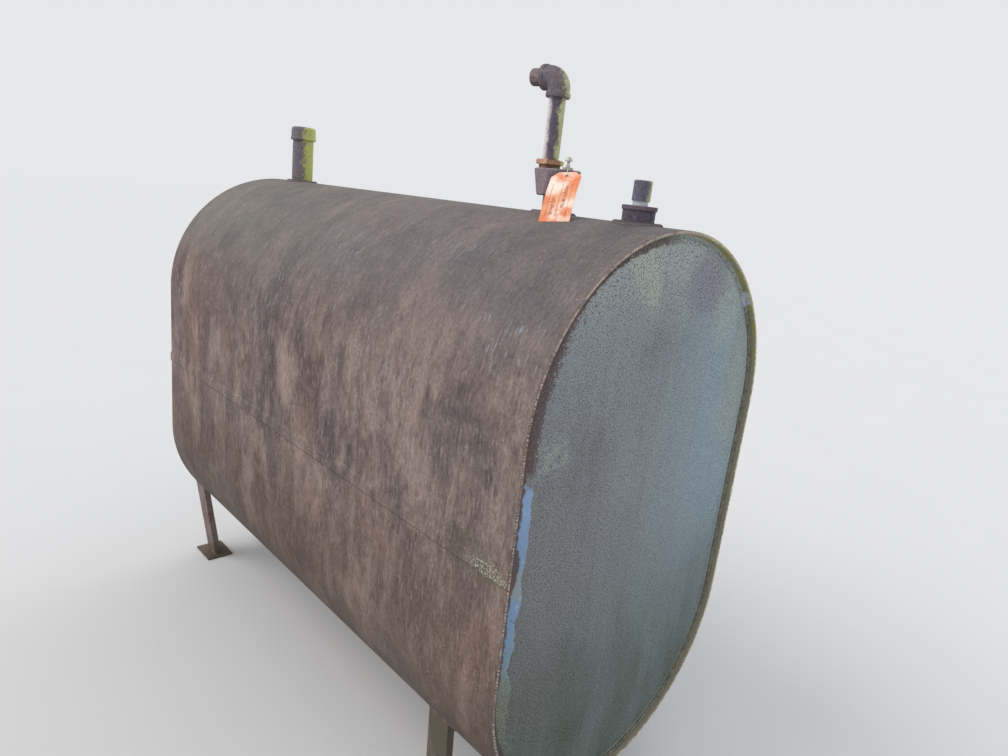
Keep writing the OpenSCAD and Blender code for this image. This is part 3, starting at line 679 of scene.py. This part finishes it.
def leg_welds(material):
    """Fillets where each leg meets the shell and its foot plate."""
    centre_z = MID_Z - STRAIGHT
    for end, lean in LEG_LEANS.items():
        for side, sign in (("near", -1), ("far", 1)):
            node = f"leg_{end}_{side}"
            low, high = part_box(node)
            leg_y = max(abs(low.y), abs(high.y))
            joint_z = centre_z - math.sqrt(SHELL_R ** 2 - leg_y ** 2)
            top = np.array([middle_x(node), sign * leg_y, joint_z])
            depth = np.array([0, -sign * math.cos(lean), math.sin(lean)])
            rise = np.array([0, sign * math.sin(lean), math.cos(lean)])
            shell_rows, foot_rows = [], []
            for u, v, side_out in channel_outline((high.x - low.x) / 2):
                base = top + np.array([u, 0, 0]) + v * depth
                point = meet_shell(base, rise, centre_z)
                normal = unit([0, point[1], point[2] - centre_z])
                away = np.array([side_out[0], 0, 0]) + side_out[1] * depth
                along = unit(away - away.dot(normal) * normal)
                shell_rows.append((*point, *along, *-rise))
                foot = base - rise * (base[2] - low.z) / rise[2]
                foot_rows.append((*foot, *unit(away * [1, 1, 0]), 0, 0, 1))
            weld_bead(node + "_top_weld", shell_rows, 0.0045, material, 31)
            weld_bead(node + "_foot_weld", foot_rows, 0.0035, material, 33)


def channel_outline(half):
    """Outside of a leg's section: across, depth and the direction away from it."""
    corner = 0.001
    rows = [(-half, v, (-1, 0)) for v in np.linspace(LEG_FLANGE, corner, 8)]
    rows += [(u, 0.0, (0, -1)) for u in np.linspace(corner - half, half - corner, 20)]
    return rows + [(half, v, (1, 0)) for v in np.linspace(corner, LEG_FLANGE, 8)]


def meet_shell(point, direction, centre_z):
    """Where a line from below first meets the lower round of the shell."""
    y, z = point[1], point[2] - centre_z
    b = y * direction[1] + z * direction[2]
    c = y * y + z * z - SHELL_R ** 2
    return point + direction * (-b - math.sqrt(max(b * b - c, 0.0)))


def thread(along, turn, share=1.0):
    """How deep the surface of a V thread lies under its crests, by a share of its full depth."""
    phase = (along / THREAD_PITCH - turn / (2 * math.pi)) % 1
    return THREAD_DEPTH * share * (1 - np.abs(2 * phase - 1))


def turned(name, foot, axis, stations, radius_at, material, stands_for=(), bore=None):
    """A turned surface: radius_at(along, turn) is its radius. With a bore it is a tube."""
    foot, axis = np.array(foot, float), unit(axis)
    turn = full_turn(TURNED_SIDES)
    around = spokes(turn, *cross_axes(axis))
    rings = [foot + axis * s + radius_at(s, turn)[:, None] * around for s in stations]
    if bore:
        rings += [foot + axis * s + bore * around for s in (stations[-1], stations[0])]
    loft(name, rings, material, stands_for, closed=bool(bore))


def middle_x(node):
    low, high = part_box(node)
    return (low.x + high.x) / 2


def measures(node):
    """Radius and height of an upright node, and the height at which it starts."""
    low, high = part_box(node)
    return (high.x - low.x) / 2, high.z - low.z, low.z


def upright(node, stations, radius_at, material):
    """A turned piece in place of an upright node. Stations count from the node's foot."""
    foot = (middle_x(node), 0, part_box(node)[0].z)
    turned(node + "_skin", foot, (0, 0, 1), stations, radius_at, material, (node,))


def stations_between(*spans):
    """Places along an axis, from spans of start, end and step, and the last end."""
    places = []
    for start, end, step in spans:
        places += list(np.linspace(start, end, max(1, round((end - start) / step)), endpoint=False))
    return places + [spans[-1][1]]


def fill_pipe_skin(material):
    """Fill pipe with the worn ends of its threads showing at the cap and at the spud."""
    radius, length, foot = measures("fill_pipe")
    run = 0.012
    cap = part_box("fill_cap")[0].z - foot
    upper_start = cap - run
    lower_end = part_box("fill_spud")[1].z - foot + run / 2

    def radius_at(s, turn):
        worn = max(np.clip((s - upper_start) / run, 0, 1), np.clip((lower_end - s) / (run / 2), 0, 1))
        dent = 0.0004 * np.sin(2 * turn + 9 * s) + 0.0002 * np.sin(5 * turn - 31 * s)
        return radius - thread(s, turn, worn) + dent * (1 - worn)

    coarse = 0.006
    upright("fill_pipe", stations_between(
        (0, lower_end, THREAD_STEP), (lower_end, upper_start, coarse),
        (upper_start, cap + 0.001, THREAD_STEP), (cap + 0.001, length, coarse)), radius_at, material)


def fill_cap_skin(material):
    """Cast cap: rounded top edge, a low bead at its mouth and flats worn by wrenches."""
    radius, height, _ = measures("fill_cap")
    # Height over the mouth, and how far the surface lies outside the cap's radius
    profile = [
        (0.0, -0.0012), (0.0008, -0.0002), (0.002, 0.0), (0.0065, 0.0), (0.008, -0.0007), (0.0095, -0.0012),
        (0.018, -0.0012), (0.028, -0.0014), (0.0325, -0.0020), (0.0350, -0.0032), (0.0368, -0.0050),
        (0.0377, -0.0075), (height, -0.0110),
    ]

    def radius_at(s, turn):
        worn = 0.0024 * np.clip(np.cos(4 * turn) - 0.75, 0, 1) * (0.012 < s < 0.03)
        return radius + np.interp(s, *zip(*profile)) - worn

    shoulder = height * 0.8
    stations = stations_between((0, shoulder, 0.0008), (shoulder, height, 0.0005))
    upright("fill_cap", stations, radius_at, material)


def vent_neck_skin(material):
    """Short pipe under the casting, with its thread worn at both ends."""
    radius, length, foot = measures("vent_neck")
    start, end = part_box("vent_spud")[1].z - foot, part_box("vent_casting")[0].z - foot

    def radius_at(s, turn):
        worn = np.clip(abs(2 * (s - start) / (end - start) - 1), 0.25, 1)
        return radius - thread(s, turn, worn)

    upright("vent_neck", stations_between((0, length, THREAD_STEP)), radius_at, material)


def vent_pipe_skin(material):
    """Vent pipe with the ends of its threads showing at the bushing and under the elbow."""
    radius, length, foot = measures("vent_pipe")
    run = 0.009
    lower_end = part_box("vent_bushing")[1].z - foot + run
    upper_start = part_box("vent_elbow")[0].z - foot - run

    def radius_at(s, turn):
        worn = max(np.clip((lower_end - s) / run, 0, 1), 0.7 * np.clip((s - upper_start) / run, 0, 1))
        return radius - thread(s, turn, worn) + 0.0002 * np.sin(3 * turn + 40 * s) * (1 - worn)

    upright("vent_pipe", stations_between(
        (0, lower_end, THREAD_STEP), (lower_end, upper_start, 0.005), (upper_start, length, THREAD_STEP)),
        radius_at, material)


def outlet():
    """Centre of the elbow, direction of its outlet, and reach to its faces."""
    mount = next(m for m in frame["record"]["mounts"] if m["name"] == "vent_outlet")
    centre = np.array([middle_x("vent_pipe"), 0.0, mount["pos_m"][2]])
    return centre, unit(mount["axis"]), centre[2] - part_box("vent_elbow")[0].z


def vent_nipple_skin(material):
    """Threaded end of pipe in the elbow's outlet, with a worn edge."""
    centre, direction, reach = outlet()
    edge = 0.0015

    def radius_at(s, turn):
        end = np.clip((s - NIPPLE_LENGTH + edge) / edge, 0, 1)
        return NIPPLE_R - thread(s, turn, 0.8) - 0.0009 * end

    turned("vent_nipple_skin", centre + direction * (reach - NIPPLE_IN), direction,
           stations_between((0, NIPPLE_LENGTH, THREAD_STEP)), radius_at, material,
           ("vent_nipple",), NIPPLE_BORE)


ELBOW_BEND = 0.024
ELBOW_BODY = 0.0215
ELBOW_BAND = 0.0245
BAND_LENGTH = 0.009


def elbow_profile(s, total):
    """Radius of the cast elbow at a distance along its centre line."""
    edge = min(s, total - s)
    rounding = 0.0018 * max(0.0, 1 - edge / 0.0018) ** 2
    neck = np.clip((edge - BAND_LENGTH) / 0.0016, 0, 1)
    fillet = neck * neck * (3 - 2 * neck)
    swell = 0.0012 * math.sin(math.pi * s / total)
    return ELBOW_BAND - rounding - fillet * (ELBOW_BAND - ELBOW_BODY - swell)


def vent_elbow_skin(material):
    """Cast elbow with banded ends, swept along two arms and the bend between them."""
    centre, direction, reach = outlet()
    down = np.array([0.0, 0.0, -1.0])
    side = unit(np.cross(direction, down))
    arm = reach - ELBOW_BEND
    bend = ELBOW_BEND * math.pi / 2
    total = 2 * arm + bend
    middle = centre + ELBOW_BEND * (direction + down)
    rings = []
    for s in stations_between((0, total, 0.0009)):
        angle = np.clip((s - arm) / ELBOW_BEND, 0, math.pi / 2)
        forward = -down * math.cos(angle) + direction * math.sin(angle)
        outward = -direction * math.cos(angle) - down * math.sin(angle)
        straight = s - arm if s < arm else max(0.0, s - arm - bend)
        point = middle + ELBOW_BEND * outward + forward * straight
        rings.append(point + elbow_profile(s, total) * spokes(full_turn(72), outward, side))
    loft("vent_elbow_skin", rings, material, ("vent_elbow",))


def vent_casting_skin(material):
    """Cast fitting lofted from the outline round its two ports and its neck."""
    low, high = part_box("vent_casting")
    centres = np.array([middle_x(node) for node in ("vent_bushing", "port_screw", "vent_neck")])
    top_radii = np.array([centres[0] - low.x, high.x - centres[1], high.y])
    taper = np.array([0.010, 0.010, 0.0])
    height = high.z - low.z
    turn = full_turn(128)
    rounding, fine = 0.0035, 0.0005
    rings = []
    for z in stations_between((0, rounding, fine), (rounding, height - rounding, 0.003),
                              (height - rounding, height, fine)):
        edge = min(z, height - z)
        inset = rounding - math.sqrt(max(rounding ** 2 - max(rounding - edge, 0.0) ** 2, 0.0))
        radii = top_radii - taper * (1 - z / height) - inset
        # Each point lies on the round that reaches furthest in its direction
        chosen = (centres[:, None] * np.cos(turn) + radii[:, None]).argmax(axis=0)
        radius = radii[chosen]
        x = centres[chosen] + radius * np.cos(turn)
        rings.append(np.stack([x, radius * np.sin(turn), np.full_like(turn, low.z + z)], axis=1))
    loft("vent_casting_skin", rings, material, ("vent_casting",))


def gauge_body_skin(material):
    """Gauge body: a thread under a flange with worn edges."""
    flange, height, _ = measures("gauge_body")
    shoulder = height - GAUGE_FLANGE

    def radius_at(s, turn):
        if s < shoulder:
            return GAUGE_THREAD_R - thread(s, turn)
        edge = min(s - shoulder, height - s)
        return np.full_like(turn, flange - 0.001 * max(0.0, 1 - edge / 0.0012) ** 2)

    stations = stations_between((0, shoulder, THREAD_STEP), (shoulder, height, 0.0004))
    upright("gauge_body", stations, radius_at, material)


def bushing_thread(material):
    """The thread that shows between casting and hexagon."""
    foot = (middle_x("vent_pipe"), 0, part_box("vent_casting")[1].z - 0.0005)
    turned("bushing_thread", foot, (0, 0, 1), stations_between((0, BUSHING_THREAD_LENGTH, THREAD_STEP)),
           lambda s, turn: BUSHING_THREAD_R - thread(s, turn), material)


# The tag: same place and size as its solid
TAG_W, TAG_H, TAG_T, TAG_CLIP = 0.0603, 0.1206, 0.0006, 0.013
TAG_HOLE_R, TAG_HOLE_V = 0.003, TAG_H - 0.010
TAG_PLACE = (0.501, -0.105)
TAG_YAW, TAG_TILT = math.radians(23.6), math.radians(51)
TAG_SEAT = 0.0003


def crown_at(y):
    return MID_Z + STRAIGHT + math.sqrt(SHELL_R ** 2 - y ** 2)


TAG_Z = crown_at(TAG_PLACE[1]) + TAG_SEAT
TAG_FAR_Y = TAG_PLACE[1] + TAG_W * math.sin(TAG_YAW)
TAG_ROLL = -math.asin((crown_at(TAG_FAR_Y) + TAG_SEAT - TAG_Z) / TAG_W)
TAG_TURN = (Matrix.Rotation(TAG_YAW, 3, "Z") @ Matrix.Rotation(TAG_ROLL, 3, "Y")
            @ Matrix.Rotation(TAG_TILT, 3, "X"))


def tag_point(u, v, w, curled=True):
    """A point of the tag, from its lower left corner: u across, v up, w to the front."""
    if curled:
        across, up = u / TAG_W - 0.5, v / TAG_H
        w += 0.028 * across ** 2 * up * (1 - up) + 0.0022 * math.sin(math.pi * up) - 0.0012 * up ** 3
    return Vector((*TAG_PLACE, TAG_Z)) + TAG_TURN @ Vector((u, v, w))


def tag_card(material):
    """Slightly curled card with clipped corners and a punched hole."""
    shape = bmesh.new()
    outline = [(0, 0), (TAG_W, 0), (TAG_W, TAG_H - TAG_CLIP), (TAG_W - TAG_CLIP, TAG_H),
               (TAG_CLIP, TAG_H), (0, TAG_H - TAG_CLIP)]
    hole = spokes(full_turn(24), *np.eye(2)) * TAG_HOLE_R + (TAG_W / 2, TAG_HOLE_V)
    edges = []
    for loop in (outline, hole):
        corners = [shape.verts.new((u, v, 0)) for u, v in loop]
        edges += [shape.edges.new((a, b)) for a, b in zip(corners, corners[1:] + corners[:1])]
    bmesh.ops.triangle_fill(shape, edges=edges, use_beauty=True)
    for axis, size, cuts in (((1, 0, 0), TAG_W, 12), ((0, 1, 0), TAG_H, 24)):
        for i in range(1, cuts):
            place = [c * size * i / cuts for c in axis]
            everything = shape.verts[:] + shape.edges[:] + shape.faces[:]
            bmesh.ops.bisect_plane(shape, geom=everything, plane_co=place, plane_no=axis)
    shape.verts.index_update()
    count = len(shape.verts)
    points = [tag_point(v.co.x, v.co.y, depth) for depth in (TAG_T, 0) for v in shape.verts]
    faces = [tuple(v.index for v in f.verts) for f in shape.faces]
    open_edges = [e.link_loops[0] for e in shape.edges if e.is_boundary]
    rims = [(c.vert.index, c.link_loop_next.vert.index) for c in open_edges]
    shape.free()
    back = [tuple(i + count for i in reversed(f)) for f in faces]
    walls = [(b, a, a + count, b + count) for a, b in rims]
    piece("tag_card", points, faces + back + walls, material, ("lot_tag",), 40)


def tag_marks(material):
    """Ruled lines along the tag with a plain uneven scribble between them."""
    low, high = TAG_T + 0.00008, TAG_T + 0.00014
    parts = 8
    points, faces = [], []

    def stroke(u0, v0, u1, v1, width):
        start, end = Vector((u0, v0)), Vector((u1, v1))
        along = (end - start).normalized() * width / 2
        across = Vector((-along.y, along.x))
        faces.extend(ring_faces(parts + 1, 4, first=len(points)))
        for i in range(parts + 1):
            middle = start.lerp(end, i / parts)
            for side, height in ((across, low), (across, high), (-across, high), (-across, low)):
                points.append(tag_point(*(middle + side), height))

    for u in (0.010, 0.0295, 0.049):
        stroke(u, 0.012, u, 0.088, 0.0006)
    chance = np.random.default_rng(5)
    for left, first, last in ((0.019, 0.014, 0.060), (0.039, 0.030, 0.084)):
        sway = 0.0015 + 0.0035 * chance.random(40)
        at, v = left, first
        for i in range(40):
            ahead = v + 0.0012 + 0.0016 * chance.random()
            if ahead > last:
                break
            beside = left + (sway[i] if i % 2 else -sway[i])
            if i % 7 != 6:
                stroke(at, v, beside, ahead, 0.0008)
            at, v = beside, ahead
    piece("tag_marks", points, faces, material, (), 40)


def smooth_route(corners, steps):
    """A smooth line through the corners."""
    corners = [corners[0], *corners, corners[-1]]
    route = []
    for a, b, c, d in zip(corners, corners[1:], corners[2:], corners[3:]):
        for i in range(steps):
            t = i / steps
            route.append(0.5 * (2 * b + (c - a) * t + (2 * a - 5 * b + 4 * c - d) * t ** 2
                                + (3 * b - a - 3 * c + d) * t ** 3))
    return route + [corners[-2]]


def tube_rings(route, radius, sides=10):
    """Rings of a round tube along a route, turned as little as can be from one to the next."""
    route = np.array([tuple(p) for p in route])
    forward = unit(np.gradient(route, axis=0))
    across = cross_axes(forward[0])[0]
    rings = []
    for point, ahead in zip(route, forward):
        across = unit(across - across.dot(ahead) * ahead)
        rings.append(point + radius * spokes(full_turn(sides), across, np.cross(ahead, across)))
    return rings


def tie_wire(material):
    """Wire: twice round the screw's stem, over the casting's edge, through the tag and back."""
    wire_r, play, slack = 0.0007, 0.0002, 0.0024
    post_x = middle_x("port_screw")
    ring_r = 0.0028 + wire_r + play
    ring_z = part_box("vent_casting")[1].z + 0.005 + wire_r + play
    over_tag = tag_point(TAG_W / 2, TAG_H + slack, slack + TAG_T, False)
    bearing = math.atan2(over_tag.y, over_tag.x - post_x)
    edge_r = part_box("vent_casting")[1].x - post_x + slack

    def beside(radius, turn, z):
        return Vector((post_x + radius * math.cos(turn), radius * math.sin(turn), z))

    coil = [beside(ring_r, bearing + 2 * math.pi * i / 8, ring_z + 0.0015 * i / 8) for i in range(16)]
    edge = beside(edge_r, bearing, ring_z)
    route = coil + [beside(ring_r, bearing, ring_z + 0.003)] + smooth_route([
        beside(ring_r + 0.004, bearing, ring_z + 0.0022), edge, over_tag,
        tag_point(TAG_W / 2, TAG_HOLE_V, slack + TAG_T, False),
        tag_point(TAG_W / 2, TAG_HOLE_V, -slack, False),
        edge - Vector((0, 0, 0.0016)), beside(ring_r + 0.002, bearing, ring_z - 0.0006),
    ], 12)
    loft("tie_wire", tube_rings(route, wire_r), material, ("tag_wire",), 80)


def dress(name, material, bevel=0.0):
    """Gives a CAD node its finish, and rounds its edges where asked."""
    obj = nodes[name]
    obj.data.materials.clear()
    obj.data.materials.append(material)
    if bevel:
        weld = obj.modifiers.new("join", "WELD")
        weld.merge_threshold = 0.00002
        edge = obj.modifiers.new("edges", "BEVEL")
        edge.width = bevel
        edge.segments = 2
        edge.limit_method = "ANGLE"
        edge.angle_limit = math.radians(35)


def make_camera():
    """Where the photograph was taken from, and how it was held."""
    heading, dip, roll = math.radians(45.54), math.radians(14.48), math.radians(6.43)
    turn = (Matrix.Rotation(heading, 4, "Z") @ Matrix.Rotation(math.pi / 2 - dip, 4, "X")
            @ Matrix.Rotation(roll, 4, "Z"))
    data = bpy.data.cameras.new("camera")
    data.lens, data.sensor_width = 24.79, 36.0
    data.clip_start, data.clip_end = 0.05, 120.0
    camera = placed("camera", data)
    camera.matrix_world = Matrix.Translation((1.4214, -1.0512, 1.2479)) @ turn
    bpy.context.scene.camera = camera


def soft_sun(name, heading, height, strength, colour):
    """A far, broad lamp, by its heading and its height over the floor in degrees."""
    data = bpy.data.lights.new(name, "SUN")
    data.energy, data.color, data.angle = strength, colour, math.radians(40)
    placed(name, data).rotation_euler = (0.0, math.radians(90 - height), math.radians(heading))


def make_studio():
    """Pale floor under an even sky, with a broad warm lamp and a weak one behind."""
    half = 40.0
    corners = [(-half, -half, 0), (half, -half, 0), (half, half, 0), (-half, half, 0)]
    mesh = bpy.data.meshes.new("floor")
    mesh.from_pydata(corners, [], [(0, 1, 2, 3)])
    mesh.materials.append(floor_finish())
    placed("floor", mesh)
    world = bpy.data.worlds.new("studio")
    world.use_nodes = True
    sky = world.node_tree.nodes["Background"]
    sky.inputs["Color"].default_value = (0.96, 0.975, 1.0, 1)
    sky.inputs["Strength"].default_value = 0.82
    bpy.context.scene.world = world
    bpy.context.scene.view_settings.view_transform = "Standard"
    soft_sun("key", -125, 42, 1.4, (1.0, 0.95, 0.88))
    soft_sun("back", 100, 35, 0.35, (1.0, 0.98, 0.94))


make_camera()
make_studio()

shell_paint = shell_finish()
pipe_paint = rusted_iron("pipe_rusted", (108, 103, 114), (130, 106, 110), 0.92, 0.17)
# Cast paint: rust with a painted highlight on its near side and on faces turned up
cast_paint = rusted_iron("cast_rust_and_highlight", (98, 89, 97), (116, 96, 98), 0.3, 0.6, painted_highlight=(146, 129, 134))
thread_paint = rusted_iron("thread_rusted", (100, 76, 74), (134, 92, 78))
leg_paint = leg_finish("leg_front_paint", (84, 80, 68), (112, 100, 90))
rear_leg_paint = leg_finish("leg_rear_paint", (128, 112, 110), (100, 84, 76))

for name in ("shell_upper", "shell_lower", "fill_spud", "vent_spud", "gauge_spud", "drain_spud"):
    dress(name, shell_paint)
dress("head_front", head_finish(True))
dress("head_rear", head_finish(False))
for side in ("near", "far"):
    for end, paint in (("front", leg_paint), ("rear", rear_leg_paint)):
        dress(f"leg_{end}_{side}", paint, 0.0012)
        dress(f"foot_{end}_{side}", paint, 0.0015)
# Bushing paint: rust with a painted highlight on its near side and on faces turned up
dress("vent_bushing", rusted_iron("bushing_rust_and_highlight", (158, 116, 96), (194, 140, 108), 0.7, 0.3,
                                  painted_highlight=(212, 162, 130)))
dress("port_screw", screw_finish())
dress("gauge_glass", glass_finish())
dress("gauge_cap", rusted_iron("gauge_cap_rusted", (98, 100, 118), (94, 88, 100), 0.75, 0.38, PALE_LICHEN))
dress("drain_plug", cast_paint, 0.0015)

rim_welds(rim_finish())
seam_welds(shell_paint)
spud_welds(shell_paint)
leg_welds(weld_finish())
fill_pipe_skin(pipe_paint)
fill_cap_skin(pipe_paint)
vent_neck_skin(thread_paint)
# The vent pipe's last colour is a painted highlight on its near side and on faces turned up
vent_pipe_skin(rusted_iron("vent_rust_and_highlight", (88, 82, 96), (104, 88, 92), 0.95, 0.1, PALE_LICHEN,
                           (230, 218, 222)))
# Nipple paint: rust with a painted highlight on its near side and on its top
vent_nipple_skin(rusted_iron("nipple_rust_and_highlight", (104, 90, 94), (128, 104, 102), painted_highlight=(220, 200, 200)))
vent_elbow_skin(rusted_iron("elbow_rusted", (102, 94, 102), (106, 86, 84), 0.85, 0.25, PALE_LICHEN,
                            from_x=outlet()[0][0] - 0.026))
vent_casting_skin(cast_paint)
bushing_thread(thread_paint)
gauge_body_skin(rusted_iron("gauge_rusted", (94, 88, 104), (108, 84, 90), 0.2, 0.85))
tag_card(card_finish())
tag_marks(ink_finish())
tie_wire(wire_finish())
